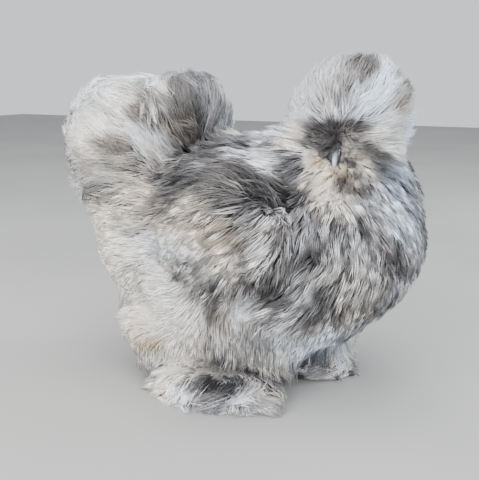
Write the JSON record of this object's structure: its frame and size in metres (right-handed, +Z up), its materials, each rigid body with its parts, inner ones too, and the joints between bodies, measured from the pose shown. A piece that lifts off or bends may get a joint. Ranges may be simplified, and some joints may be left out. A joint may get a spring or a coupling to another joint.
{
  "type": "bearded silkie chicken",
  "caption": "Standing bearded silkie chicken, life size: soft mottled grey and cream plumage, globular crest, muffs and feathered feet.",
  "frame": {"origin": "on the floor, under the middle of the bird's box", "axes": "+Z up; the bird faces -Y, its right side is -X"},
  "size_m": [0.2368, 0.3922, 0.3364],
  "materials": {
    "plumage": "soft, hair-like, mottled grey, white and cream",
    "skin": "dark slate skin, fine scales on the feet",
    "comb_skin": "dark mulberry, warty",
    "lobe_skin": "dull turquoise",
    "horn": "slate horn, satin",
    "eye": "wet, near black"
  },
  "bodies": {
    "root": {"beak_lower": "horn", "beak_upper": "horn", "beard": "plumage", "claw_left_1": "horn", "claw_left_2": "horn", "claw_left_3": "horn", "claw_left_4": "horn", "claw_left_5": "horn", "claw_right_1": "horn", "claw_right_2": "horn", "claw_right_3": "horn", "claw_right_4": "horn", "claw_right_5": "horn", "comb": "comb_skin", "crest": "plumage", "earlobe_left": "lobe_skin", "earlobe_right": "lobe_skin", "eye_left": "eye", "eye_right": "eye", "foot_feathers_left": "plumage", "foot_feathers_right": "plumage", "foot_left": "skin", "foot_right": "skin", "head": "skin", "neck": "plumage", "saddle_cushion": "plumage", "tail": "plumage", "thigh_left": "plumage", "thigh_right": "plumage", "trunk": "plumage", "wattle_left": "comb_skin", "wattle_right": "comb_skin", "wing_left": "plumage", "wing_right": "plumage"}
  },
  "joints": []
}
